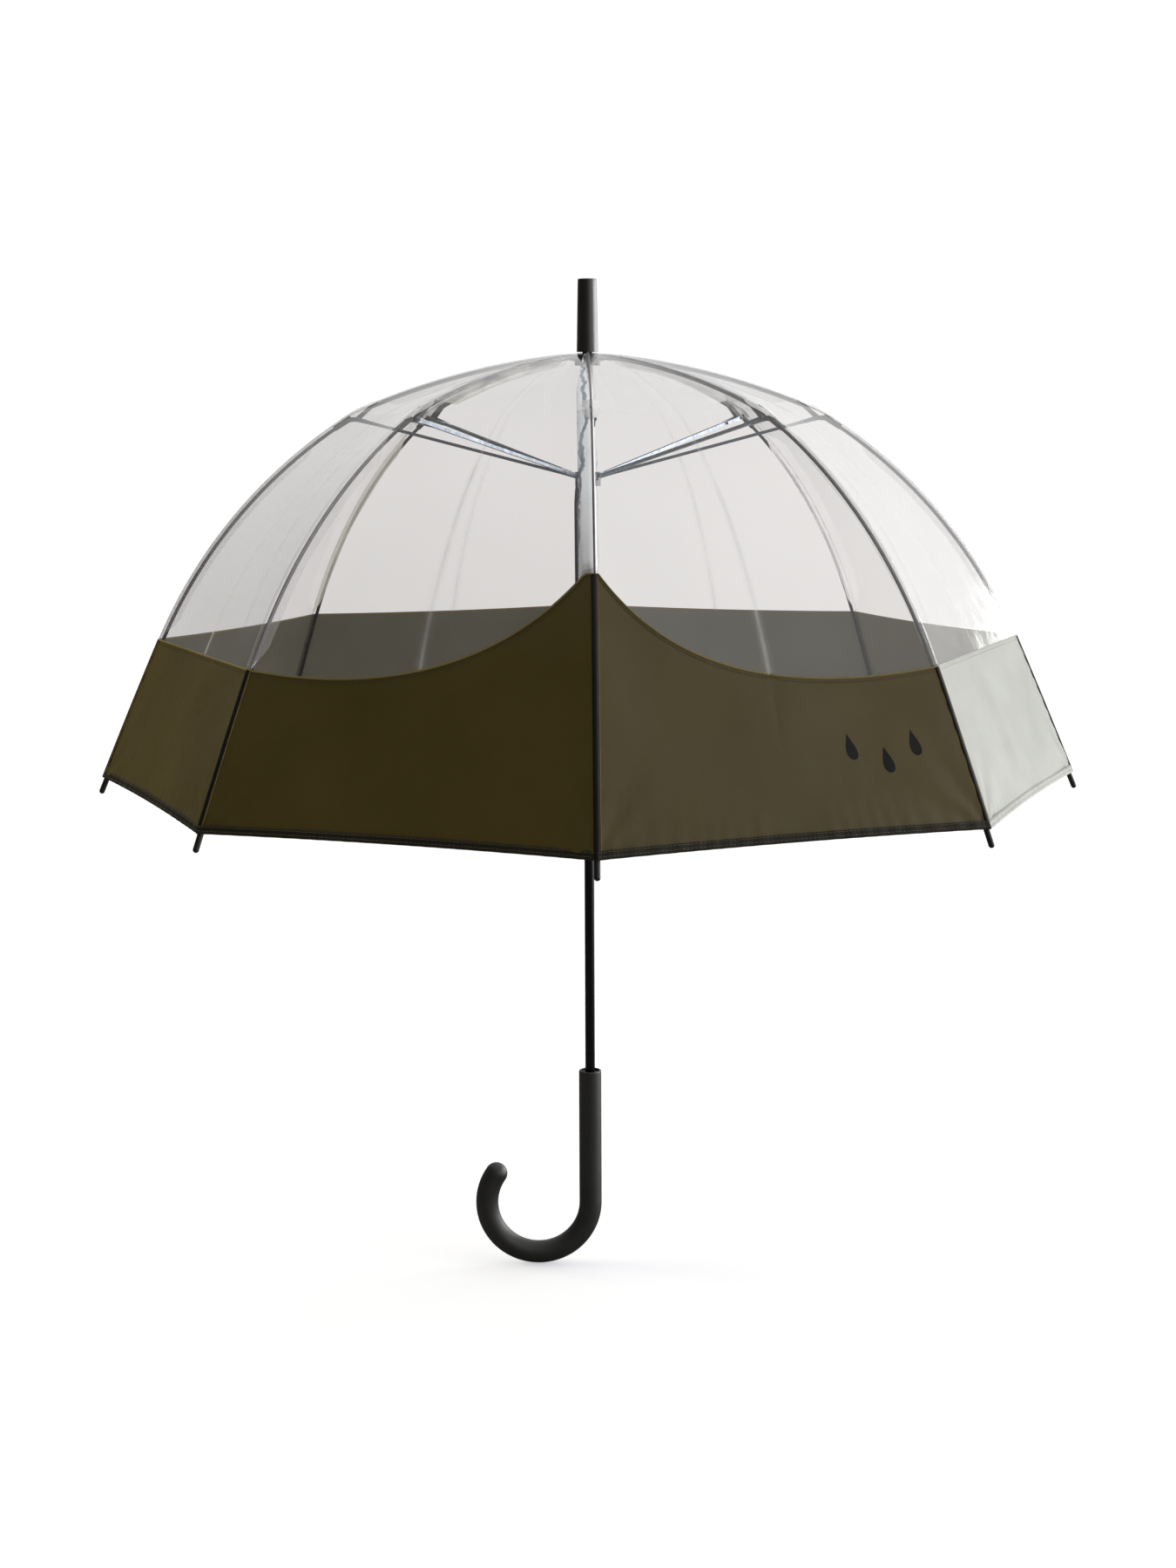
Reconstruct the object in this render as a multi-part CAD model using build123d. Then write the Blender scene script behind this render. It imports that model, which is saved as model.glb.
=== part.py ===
from build123d import *
import os
from math import atan2, cos, degrees, hypot, radians, sin, tan

# Stick umbrella with a deep dome of eight clear panels and an opaque band.
# Millimetres. The origin is on the shaft's axis, level with the lowest point of the crook.
# +Z points up to the ferrule. Rib 1 points to the front, -Y, and the others follow towards +X.

# ribs
RIBS = 8
RIB_STEP = 360 / RIBS
HALF_STEP = RIB_STEP / 2
FRONT = -90.0

# canopy outline along a rib, as (radius, height): two arcs that meet at the rib joint, then a
# flatter arc that runs on from the second down to the rim
CROWN = (7.0, 809.1)
SHOULDER = (101.0, 794.0)
KNEE = (200.0, 760.5)
FLANK = (301.5, 676.0)
BAND_TOP = (373.0, 565.0)
RIM = (425.0, 445.0)
FILM = 0.6
SEAM_GAP = 0.4

# the band's top edge on the two front panels: a peak on the front rib that swoops down and
# dips a little below the level of the other panels
PEAK_RISE = 76.0
PEAK_POWER = 4
DIP = 5.0
HEM_BOW = 4.0

# shaft, handle and ferrule
SHAFT_R = 4.3
SHAFT_WALL = 0.8
GRIP_R = 10.0
GRIP_TOP = 178.0
CROOK_R = 46.5
CROOK_SWEEP = 215.0
CROOK_Z = CROOK_R + GRIP_R
SOCKET_DEPTH = 60.0
SOCKET_RECESS_R = 8.3
SOCKET_RECESS = 2.0
FERRULE_Z = 809.9
FERRULE_H = 61.5
FERRULE_R = 9.2
FERRULE_TOP_R = 8.1
FERRULE_BORE = 50.0
GLUE_GAP = 0.05

# linkage: ribs hinge on the crown wire and stretchers on the runner wire, both rings of the same
# radius, and the rib joint lies midway in height, so the runner runs true as the ribs fold
RING_R = 8.0
CROWN_PIVOT_Z = 803.5
RUNNER_PIVOT_Z = 703.5
JOINT = (198.0, (CROWN_PIVOT_Z + RUNNER_PIVOT_Z) / 2)
ARM = hypot(JOINT[0] - RING_R, CROWN_PIVOT_Z - JOINT[1])
ARM_TILT = degrees(atan2(CROWN_PIVOT_Z - JOINT[1], JOINT[0] - RING_R))
FOLD = 73.0
TRAVEL = ARM * (sin(radians(ARM_TILT + FOLD)) - sin(radians(ARM_TILT))) * 2

# slotted discs of the crown and the runner
WIRE_R = 0.4
WIRE_TUNNEL_R = 0.5
DISC_R = 11.0
SLOT_W = 2.6
SLOT_FLOOR_R = 5.8
EYE_R = 1.7
EYE_HOLE_R = 0.8
EYE_ROOM = 0.75
TONGUE_W = 1.8
NOTCH_BELOW = 5.0
NOTCH_ABOVE = 4.1
RUNNER_BORE_R = SHAFT_R + 0.25
RUNNER_SLEEVE_R = 6.4
RUNNER_BOTTOM = 672.0
RUNNER_HEAD_BOTTOM = 696.0
RUNNER_TOP = 708.0

# inner rib, rib joint and stretcher
BAR_W = 3.2
RIB_INSET = 1.0
RIB_H = 3.0
RIB_START = 14.0
RIB_END = 187.0
FLUTE_W = 1.8
FLUTE_H = 1.6
FLUTE_MARGIN = 10.0
EAR_R = 2.0
INNER_EAR = (1.2, 2.2)
OUTER_EAR = (2.5, 3.5)
RIVET_R = 0.9
RIVET_HOLE_R = 1.0
RIVET_HEAD = (3.8, 4.4)
RIVET_HEAD_R = 1.6
STRETCHER_H = 2.6
FORK_LENGTH = 17.0
FORK_BRIDGE = 4.0

# outer rod, its socket and its tip
ROD_R = 1.5
ROD_INSET = 3.5
ROD_START = 7.0
SOCKET_R = 2.4
SOCKET_HOLE_R = 1.65
SOCKET_LENGTH = 17.0
SOCKET_END = 1.5
TIP_R = 2.4
TIP_BEFORE_RIM = 2.0
TIP_BEYOND_RIM = 14.5
TIP_HOLE_R = 1.6
TIP_HOLE_DEPTH = 9.0

# catches: a flat spring inside the shaft with a nose that stands out through a slot
CATCH_Z = 680.0
TOP_CATCH_SIDE = 67.5
BOTTOM_CATCH_SIDE = 157.5
NOSE_W = 2.2
NOSE_H = 6.0
NOSE_R = 7.2
BLADE = (2.2, 2.8)
BLADE_W = 2.4
BLADE_LENGTH = 28.0
CATCH_ROOM = 0.35
KEYWAY_R = 7.55
KEYWAY_W = 3.0

FAR = 600.0


def upright(sketch, half, near=0.0):
    """Extrude a sketch of (radius, height) to both sides of its plane, from near to half."""
    solid = extrude(Plane.XZ * sketch, half, both=True)
    if near:
        solid -= extrude(Plane.XZ * sketch, near, both=True)
    return solid


def turned(solid, angle):
    """A solid made along +X, turned to an angle counted from the front towards +X."""
    return solid.rotate(Axis.Z, FRONT + angle)


def across(point, radius, half):
    """A cylinder across the plane of a rib, on a point (radius, height)."""
    return upright(Pos(*point) * Circle(radius), half)


def link(a, a_radius, b, b_radius):
    """The outline round two discs, as a strap has."""
    return make_hull((Pos(*a) * Circle(a_radius) + Pos(*b) * Circle(b_radius)).edges())


def between(near, far):
    """A sketch as tall as the umbrella, from one radius to another."""
    return Pos((near + far) / 2, CROWN[1]) * Rectangle(far - near, FAR)


def along(point, direction):
    """Where a solid made along +Z stands when it starts at a point (radius, height)."""
    return Pos(point.X, 0, point.Y) * Rot(0, degrees(atan2(direction.X, direction.Y)), 0)


def arcs_of_outline(shrink=1.0):
    """The canopy's outline as three arcs, with its radii multiplied by shrink."""
    points = [(shrink * r, z) for r, z in (CROWN, SHOULDER, KNEE, FLANK, BAND_TOP, RIM)]
    crown = ThreePointArc(*points[0:3])
    flank = ThreePointArc(*points[2:5])
    band = TangentArc(points[4], points[5], tangent=flank % 1)
    return crown, flank, band


def inset(arc, depth):
    """The arc that lies a depth inside another."""
    points = [arc @ share for share in (0, 0.5, 1)]
    moved = [p - (p - arc.arc_center).normalized() * depth for p in points]
    return ThreePointArc(*moved)


def strip(arc, outer, inner):
    """The face between two arcs inside another."""
    top = inset(arc, outer)
    low = inset(arc, inner)
    ends = [Line(top @ 0, low @ 0), Line(top @ 1, low @ 1)]
    return make_face([top, low] + ends)


def outline_radius(z):
    """The outline's radius at a height below the rib joint."""
    crown, flank, band = arcs_of_outline()
    arc = flank if z > BAND_TOP[1] else band
    centre = arc.arc_center
    return centre.X + (arc.radius**2 - (z - centre.Y) ** 2) ** 0.5


def make_shaft():
    bottom = GRIP_TOP - SOCKET_DEPTH + 1
    height = FERRULE_Z + FERRULE_BORE - 1 - bottom
    tube = Circle(SHAFT_R) - Circle(SHAFT_R - SHAFT_WALL)
    shaft = Pos(0, 0, bottom) * extrude(tube, height)
    for z, side in catch_places():
        slot = Box(NOSE_R, NOSE_W + 2 * CATCH_ROOM, NOSE_H + 2 * CATCH_ROOM)
        shaft -= turned(Pos(NOSE_R / 2, 0, z) * slot, side)
    return shaft


def make_handle():
    """Straight grip and crook, with a round end and an open socket for the shaft."""
    straight = Line((0, GRIP_TOP), (0, CROOK_Z))
    crook = CenterArc((-CROOK_R, CROOK_Z), CROOK_R, 0, -CROOK_SWEEP)
    path = Plane.XZ * Wire([straight, crook])
    start = Plane(origin=(0, 0, GRIP_TOP), z_dir=(0, 0, -1))
    handle = sweep(start * Circle(GRIP_R), path=path)
    handle += Pos(path @ 1) * Sphere(GRIP_R)
    rim = handle.edges().filter_by(GeomType.CIRCLE).sort_by(Axis.Z)[-1]
    handle = fillet(rim, 1.0)
    handle -= Pos(0, 0, GRIP_TOP) * Cylinder(SOCKET_RECESS_R, 2 * SOCKET_RECESS)
    bore = Cylinder(SHAFT_R + GLUE_GAP, 2 * SOCKET_DEPTH)
    return handle - Pos(0, 0, GRIP_TOP) * bore


def make_ferrule():
    cone = Cone(FERRULE_R, FERRULE_TOP_R, FERRULE_H)
    cone = fillet(cone.edges().sort_by(Axis.Z)[-1], 0.8)
    cone = Pos(0, 0, FERRULE_Z + FERRULE_H / 2) * cone
    return cone - Pos(0, 0, FERRULE_Z) * Cylinder(SHAFT_R + GLUE_GAP, 2 * FERRULE_BORE)


def slotted_disc(pivot_z, bottom, top, slot_bottom, slot_top, bore_r):
    """A disc with a bore, a slot for each rib, and a tunnel for the wire ring."""
    disc = Pos(0, 0, (bottom + top) / 2) * Cylinder(DISC_R, top - bottom)
    disc -= Pos(0, 0, (bottom + top) / 2) * Cylinder(bore_r, 2 * (top - bottom))
    slot = Box(DISC_R, SLOT_W, slot_top - slot_bottom)
    slot = Pos(SLOT_FLOOR_R + DISC_R / 2, 0, (slot_top + slot_bottom) / 2) * slot
    for n in range(RIBS):
        disc -= turned(slot, n * RIB_STEP)
    return disc - Pos(0, 0, pivot_z) * Torus(RING_R, WIRE_TUNNEL_R)


def make_crown_notch():
    bottom = CROWN_PIVOT_Z - NOTCH_BELOW
    top = CROWN_PIVOT_Z + NOTCH_ABOVE
    slot_top = CROWN_PIVOT_Z + EYE_R + EYE_ROOM
    return slotted_disc(CROWN_PIVOT_Z, bottom, top, bottom - 1, slot_top, SHAFT_R + GLUE_GAP)


def make_runner():
    """Sleeve and slotted head, with a keyway that each catch's nose passes through."""
    slot_bottom = RUNNER_PIVOT_Z - EYE_R - EYE_ROOM
    runner = slotted_disc(
        RUNNER_PIVOT_Z, RUNNER_HEAD_BOTTOM, RUNNER_TOP, slot_bottom, RUNNER_TOP + 1, RUNNER_BORE_R
    )
    height = RUNNER_HEAD_BOTTOM - RUNNER_BOTTOM
    sleeve = Cylinder(RUNNER_SLEEVE_R, height) - Cylinder(RUNNER_BORE_R, 2 * height)
    runner += Pos(0, 0, RUNNER_BOTTOM + height / 2) * sleeve
    low = CATCH_Z - NOSE_H / 2 - 2 * CATCH_ROOM
    high = CATCH_Z + NOSE_H / 2 + 2 * CATCH_ROOM
    for side, z0, z1 in (
        (TOP_CATCH_SIDE, low, RUNNER_TOP + 1),
        (BOTTOM_CATCH_SIDE, RUNNER_BOTTOM - 1, high),
    ):
        keyway = Pos(KEYWAY_R / 2, 0, (z0 + z1) / 2) * Box(KEYWAY_R, KEYWAY_W, z1 - z0)
        runner -= turned(keyway, side)
    return runner


def make_wire(z):
    return Pos(0, 0, z) * Torus(RING_R, WIRE_R)


def catch_places():
    """(height, side) of the nose of the top catch and of the bottom catch."""
    return (CATCH_Z, TOP_CATCH_SIDE), (CATCH_Z - TRAVEL, BOTTOM_CATCH_SIDE)


def make_catch(z, side, ramp):
    """A spring blade and its nose, whose ramp faces down (-1) or up (+1)."""
    blade = Box(BLADE[1] - BLADE[0], BLADE_W, BLADE_LENGTH)
    blade = Pos(sum(BLADE) / 2, 0, z) * blade
    root = z + ramp * NOSE_H / 2
    flat = z - ramp * NOSE_H / 2
    crest = flat + ramp * NOSE_H / 3
    corners = [(BLADE[0], root), (BLADE[1], root), (NOSE_R, crest), (NOSE_R, flat), (BLADE[0], flat)]
    nose = upright(make_face(Polyline(*corners, close=True)), NOSE_W / 2)
    return turned(blade + nose, side)


def make_inner_rib():
    """Fluted bar under the canopy, with an eye for the crown wire and a fork at the rib joint."""
    crown, flank, band = arcs_of_outline()
    under = RIB_INSET + RIB_H
    bar = strip(crown, RIB_INSET, under) & between(RIB_START, RIB_END)
    flute = strip(crown, under - FLUTE_H, under + 1)
    flute = flute & between(RIB_START + FLUTE_MARGIN, RIB_END - FLUTE_MARGIN)
    rib = upright(bar, BAR_W / 2) - upright(flute, FLUTE_W / 2)
    middle = inset(crown, RIB_INSET + RIB_H / 2)
    near = middle.position_at(RIB_START / middle.length)
    far = middle.position_at((RIB_END - CROWN[0] - 1) / (KNEE[0] - CROWN[0]))
    eye = (RING_R, CROWN_PIVOT_Z)
    rib += upright(link(eye, EYE_R, (near.X, near.Y), RIB_H / 2 - 0.1), TONGUE_W / 2)
    ears = link(JOINT, EAR_R, (far.X, far.Y), RIB_H / 2)
    rib += upright(ears, INNER_EAR[1], INNER_EAR[0])
    rib -= across(eye, EYE_HOLE_R, BAR_W)
    rib -= across(JOINT, RIVET_HOLE_R, 2 * BAR_W)
    return rib


def make_rivet():
    """The pin of the rib joint, with a head at each end."""
    pin = across(JOINT, RIVET_R, RIVET_HEAD[1])
    return pin + upright(Pos(*JOINT) * Circle(RIVET_HEAD_R), RIVET_HEAD[1], RIVET_HEAD[0])


def along_arm(sketch):
    """A sketch drawn with +X from the runner's pivot to the rib joint, moved to the stretcher."""
    return Pos(RING_R, RUNNER_PIVOT_Z) * Rot(0, 0, ARM_TILT) * sketch


def make_stretcher():
    """Channel with an eye for the runner wire and a fork round the rib joint."""
    start = RIB_START
    end = ARM - FORK_LENGTH
    bar = Pos((start + end) / 2, 0) * Rectangle(end - start, STRETCHER_H)
    flute = Rectangle(end - start - 2 * FLUTE_MARGIN, FLUTE_H * 2)
    flute = Pos((start + end) / 2, STRETCHER_H / 2) * flute
    solid = upright(along_arm(bar), BAR_W / 2) - upright(along_arm(flute), FLUTE_W / 2)
    tongue = link((0, 0), EYE_R, (start + 2, 0), STRETCHER_H / 2 - 0.1)
    solid += upright(along_arm(tongue), TONGUE_W / 2)
    bridge = Pos(end, 0) * Rectangle(FORK_BRIDGE, STRETCHER_H)
    solid += upright(along_arm(bridge), OUTER_EAR[1])
    ears = link((end, 0), STRETCHER_H / 2, (ARM, 0), EAR_R)
    solid += upright(along_arm(ears), OUTER_EAR[1], OUTER_EAR[0])
    solid -= upright(along_arm(Circle(EYE_HOLE_R)), BAR_W)
    return solid - upright(along_arm(Pos(ARM, 0) * Circle(RIVET_HOLE_R)), 2 * BAR_W)


def rod_path():
    """The rod's centre line: under the canopy from the rib joint to inside the tip."""
    crown, flank, band = arcs_of_outline()
    upper = inset(flank, ROD_INSET)
    upper = upper.trim(ROD_START / upper.length, 1)
    lower = inset(band, ROD_INSET)
    end = Line(lower @ 1, (lower @ 1) + (lower % 1) * (TIP_HOLE_DEPTH - TIP_BEFORE_RIM - 1))
    return upper, lower, end


def make_rod():
    path = Plane.XZ * Wire(rod_path())
    section = Plane(origin=path @ 0, z_dir=path % 0) * Circle(ROD_R)
    return sweep(section, path=path)


def make_rod_socket():
    """Moulded sleeve on the rod's end, with the tongue that hinges at the rib joint."""
    upper = rod_path()[0]
    start = (upper @ 0) - (upper % 0) * SOCKET_END
    axis = along(start, upper % 0)
    socket = axis * Pos(0, 0, SOCKET_LENGTH / 2) * Cylinder(SOCKET_R, SOCKET_LENGTH)
    root = start + (upper % 0) * SOCKET_R
    tongue = link(JOINT, EAR_R - 0.2, (root.X, root.Y), SOCKET_R - 0.2)
    socket += upright(tongue, TONGUE_W / 2)
    bore = Cylinder(SOCKET_HOLE_R, SOCKET_LENGTH)
    socket -= axis * Pos(0, 0, SOCKET_LENGTH / 2 + SOCKET_END - 0.2) * bore
    return socket - across(JOINT, RIVET_HOLE_R, BAR_W)


def make_tip():
    """Round-ended cap on the rod's end."""
    lower = rod_path()[1]
    start = (lower @ 1) - (lower % 1) * TIP_BEFORE_RIM
    length = TIP_BEFORE_RIM + TIP_BEYOND_RIM
    tip = Pos(0, 0, (length - TIP_R) / 2) * Cylinder(TIP_R, length - TIP_R)
    tip += Pos(0, 0, length - TIP_R) * Sphere(TIP_R)
    tip -= Cylinder(TIP_HOLE_R, 2 * TIP_HOLE_DEPTH)
    return along(start, lower % 1) * tip


def make_whole_panel():
    """One panel from crown to hem, straight across between its ribs, with its middle along +X."""
    arcs = arcs_of_outline(cos(radians(HALF_STEP)))
    panel = upright(strip(arcs[0], -FILM / 2, FILM / 2), FAR)
    for arc in arcs[1:]:
        panel += upright(strip(arc, -FILM / 2, FILM / 2), FAR)
    apex = SEAM_GAP / 2 / sin(radians(HALF_STEP))
    spread = (FAR - apex) * tan(radians(HALF_STEP))
    wedge = Polyline((apex, 0), (FAR, spread), (FAR, -spread), close=True)
    return panel & extrude(make_face(wedge), 2 * FAR)


def beside(share, z):
    """A point on a panel's chord at a height, as (distance across, height)."""
    half = outline_radius(z) * sin(radians(HALF_STEP))
    return (2 * share - 1) * half, z


def swoop_height(share):
    """The band's top edge on a front panel, from the front rib (0) to the next rib (1)."""
    peak = PEAK_RISE * (1 - share) ** PEAK_POWER
    return BAND_TOP[1] + peak - 6.75 * DIP * share**2 * (1 - share)


def below_edge(top_edge):
    """Everything outside the shaft's region below an edge drawn as (across, height)."""
    first = top_edge @ 0
    last = top_edge @ 1
    floor = RIM[1] - 100
    outline = [
        top_edge,
        Line(last, (FAR, last.Y)),
        Line((FAR, last.Y), (FAR, floor)),
        Line((FAR, floor), (-FAR, floor)),
        Line((-FAR, floor), (-FAR, first.Y)),
        Line((-FAR, first.Y), first),
    ]
    return extrude(Plane.YZ * make_face(outline), FAR)


def make_panels(side):
    """(clear part, opaque part) of a panel. side is +1 or -1 with the front rib on one side of it
    and 0 where the band's top edge is level."""
    whole = make_whole_panel()
    corner = beside(1, RIM[1])
    hem = ThreePointArc((-corner[0], RIM[1]), (0, RIM[1] + HEM_BOW), corner)
    whole -= below_edge(hem)
    if side:
        shares = [0, 0.06, 0.13, 0.22, 0.34, 0.5, 0.67, 0.84, 1]
        points = [beside(s, swoop_height(s)) for s in shares]
        edge = Spline([(side * y, z) for y, z in points][::side])
    else:
        corner = beside(1, BAND_TOP[1])
        edge = Line((-corner[0], BAND_TOP[1]), corner)
    below = below_edge(edge)
    return whole - below, whole & below


def write(name, *solids):
    shape = solids[0] if len(solids) == 1 else Compound(children=list(solids))
    export_step(shape, f"parts/{name}.step")


def main():
    os.makedirs("parts", exist_ok=True)
    write("shaft", make_shaft())
    write("handle", make_handle())
    write("ferrule", make_ferrule())
    write("crown_notch", make_crown_notch())
    write("crown_wire", make_wire(CROWN_PIVOT_Z))
    write("runner", make_runner())
    write("runner_wire", make_wire(RUNNER_PIVOT_Z))
    (top_z, top_side), (bottom_z, bottom_side) = catch_places()
    write("top_catch", make_catch(top_z, top_side, -1))
    write("bottom_catch", make_catch(bottom_z, bottom_side, 1))
    inner_rib = make_inner_rib()
    rivet = make_rivet()
    rod = make_rod()
    socket = make_rod_socket()
    tip = make_tip()
    stretcher = make_stretcher()
    panels = {side: make_panels(side) for side in (-1, 0, 1)}
    for n in range(RIBS):
        angle = n * RIB_STEP
        write(f"rib_inner_{n + 1}", turned(inner_rib, angle), turned(rivet, angle))
        write(f"rib_outer_{n + 1}", turned(rod, angle), turned(socket, angle))
        write(f"rib_tip_{n + 1}", turned(tip, angle))
        write(f"stretcher_{n + 1}", turned(stretcher, angle))
        side = {0: 1, RIBS - 1: -1}.get(n, 0)
        clear, band = panels[side]
        write(f"clear_panel_{n + 1}", turned(clear, angle + HALF_STEP))
        write(f"band_panel_{n + 1}", turned(band, angle + HALF_STEP))


main()
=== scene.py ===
from math import asin, atan2, cos, exp, hypot, pi, radians, sin, tan

import bpy
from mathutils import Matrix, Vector


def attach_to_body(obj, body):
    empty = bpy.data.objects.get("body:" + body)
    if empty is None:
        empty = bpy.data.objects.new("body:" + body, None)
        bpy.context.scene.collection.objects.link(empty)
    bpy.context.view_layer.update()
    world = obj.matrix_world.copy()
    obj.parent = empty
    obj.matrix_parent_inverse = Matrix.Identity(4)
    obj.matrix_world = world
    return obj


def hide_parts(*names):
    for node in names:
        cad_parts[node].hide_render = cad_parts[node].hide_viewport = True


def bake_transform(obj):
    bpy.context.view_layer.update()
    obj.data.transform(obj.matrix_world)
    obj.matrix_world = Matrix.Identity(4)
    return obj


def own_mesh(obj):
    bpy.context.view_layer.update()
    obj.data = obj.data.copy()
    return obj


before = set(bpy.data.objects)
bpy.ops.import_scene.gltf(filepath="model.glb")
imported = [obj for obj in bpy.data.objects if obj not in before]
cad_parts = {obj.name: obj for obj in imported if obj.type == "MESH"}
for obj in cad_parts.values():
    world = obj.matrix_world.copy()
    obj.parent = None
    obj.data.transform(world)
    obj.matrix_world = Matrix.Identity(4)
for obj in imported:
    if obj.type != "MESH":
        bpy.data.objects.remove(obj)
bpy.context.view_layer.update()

# Clear bubble umbrella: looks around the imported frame. Metres, +Z up, front towards -Y.
# Rib 0 points to the front and the others follow towards +X, so rib k is the frame's rib k+1,
# and panel k lies between rib k and rib k+1.

RIBS = 8
STEP = 2 * pi / RIBS
HALF = STEP / 2

# The canopy's outline along a rib, as (radius, height). It bends at the knee, over the rib joint.
CROWN = (0.007, 0.8091)
SHOULDER = (0.101, 0.794)
KNEE = (0.200, 0.7605)
FLANK = (0.3015, 0.676)
BAND_TOP = (0.373, 0.565)
RIM = (0.425, 0.445)
JOINT_HEIGHT = 0.7535

SAG = 0.0035
SAG_FULL = 1.3  # the s at which the sag is full
SAG_LOST = 0.7  # the share of it lost between the band's top and the rim
CREASE = 0.0003
CREASE_REACH = 0.03

# The band rises to a peak at the front rib. Its shape there is a (reach, power) on either side.
PEAK_RISE = 0.076
PEAK_SHAPES = {-1: (1.03, 3.3), 1: (1.012, 4.0)}
DIP = 0.005
# 1 over the most that share**2 * (1 - share) comes to, so that the dip is DIP deep
DIP_SCALE = 6.75
HEM_BOW = 0.0018
CLOTH = 0.0006


# ---------- canopy outline ----------

def circle_through(a, b, c):
    """(centre radius, centre height, radius) of the circle through three points."""
    ax, ay, bx, by, cx, cy = *a, *b, *c
    d = 2 * (ax * (by - cy) + bx * (cy - ay) + cx * (ay - by))
    aa, bb, cc = ax * ax + ay * ay, bx * bx + by * by, cx * cx + cy * cy
    x = (aa * (by - cy) + bb * (cy - ay) + cc * (ay - by)) / d
    y = (aa * (cx - bx) + bb * (ax - cx) + cc * (bx - ax)) / d
    return x, y, hypot(ax - x, ay - y)


def arc_from(circle, start, end):
    """(centre radius, centre height, radius, first angle, last angle)"""
    x, y, radius = circle
    first = atan2(start[1] - y, start[0] - x)
    last = atan2(end[1] - y, end[0] - x)
    return x, y, radius, first, last


def band_circle(flank):
    """The circle that runs on from the flank at the band's top and passes through the rim."""
    n = Vector((BAND_TOP[0] - flank[0], BAND_TOP[1] - flank[1])).normalized()
    w = Vector((RIM[0] - BAND_TOP[0], RIM[1] - BAND_TOP[1]))
    radius = -w.length_squared / (2 * w.dot(n))
    return BAND_TOP[0] - radius * n.x, BAND_TOP[1] - radius * n.y, radius


CROWN_CIRCLE = circle_through(CROWN, SHOULDER, KNEE)
FLANK_CIRCLE = circle_through(KNEE, FLANK, BAND_TOP)
ARCS = (
    arc_from(CROWN_CIRCLE, CROWN, KNEE),
    arc_from(FLANK_CIRCLE, KNEE, BAND_TOP),
    arc_from(band_circle(FLANK_CIRCLE), BAND_TOP, RIM),
)
LENGTHS = [abs(radius * (last - first)) for x, y, radius, first, last in ARCS]


def outline(s):
    """(radius, height, angle of the outward normal). s is 0 at the crown, 1 at the rib joint, 2 at
    the band's top and 3 at the rim."""
    n = min(max(int(s), 0), 2)
    x, y, radius, first, last = ARCS[n]
    angle = first + (last - first) * (s - n)
    return x + radius * cos(angle), y + radius * sin(angle), angle


def at_height(z):
    """The outline's s at a height below the rib joint."""
    n = 1 if z > BAND_TOP[1] else 2
    x, y, radius, first, last = ARCS[n]
    return n + (asin((z - y) / radius) - first) / (last - first)


def sag(s):
    """How far the skin is pulled in half-way between two ribs."""
    return SAG * sin(min(1, s / SAG_FULL) * pi / 2) * (1 - SAG_LOST * max(0, s - 2))


def radial(angle):
    return Vector((sin(angle), -cos(angle), 0))


def tangent(angle):
    return Vector((cos(angle), sin(angle), 0))


def rib_point(k, s, lift=0.0, across=0.0):
    """A point in the plane of a rib, lifted off the outline and moved across the rib."""
    r, z, angle = outline(s)
    a = k * STEP
    up = Vector((0, 0, 1))
    return radial(a) * (r + lift * cos(angle)) + up * (z + lift * sin(angle)) + tangent(a) * across


def skin(k, side, v, s, lift=0.0):
    """A point of the canopy beside rib k. side is +1 or -1, and v runs from 0 at the rib to 0.5
    half-way to the next rib, where the panel has a faint crease."""
    r, z, angle = outline(s)
    a, b = k * STEP, (k + side) * STEP
    first, last = radial(a) * r, radial(b) * r
    squeeze = cos(HALF)
    length = hypot(cos(angle), squeeze * sin(angle))
    normal = radial((a + b) / 2) * (cos(angle) / length)
    normal = normal + Vector((0, 0, squeeze * sin(angle) / length))
    crease = CREASE * max(0, 1 - (0.5 - v) / CREASE_REACH) * min(1, s, max(0, 1.9 - s))
    depth = sag(s) * 4 * v * (1 - v) + crease
    point = first + (last - first) * v + normal * (lift - depth)
    return point + Vector((0, 0, z))


def chord(s):
    """The straight distance from rib to rib."""
    return 2 * outline(s)[0] * sin(HALF)


def width_at(v, s):
    return v * chord(s)


def edge(k, side, v):
    """s of the band's top edge, which rises to a peak at the front rib."""
    panel = k if side > 0 else (k - 1) % RIBS
    if panel not in (0, RIBS - 1):
        return 2.0
    share = v if k == 0 else 1 - v
    reach, power = PEAK_SHAPES[1 if panel == 0 else -1]
    rise = PEAK_RISE * min(1, reach - share) ** power
    return at_height(BAND_TOP[1] + rise - DIP_SCALE * DIP * share**2 * (1 - share))


def hem(v):
    """s of the hem, which bows up between two ribs."""
    return at_height(RIM[1] + HEM_BOW * (1 - (1 - 2 * v) ** 2))


# ---------- mesh code ----------

# The sides of a tube are set out from this direction, which no tube here runs along.
TUBE_UP = Vector((0.13, 0.21, 0.97))
TUBE_DOME = 0.7


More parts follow.
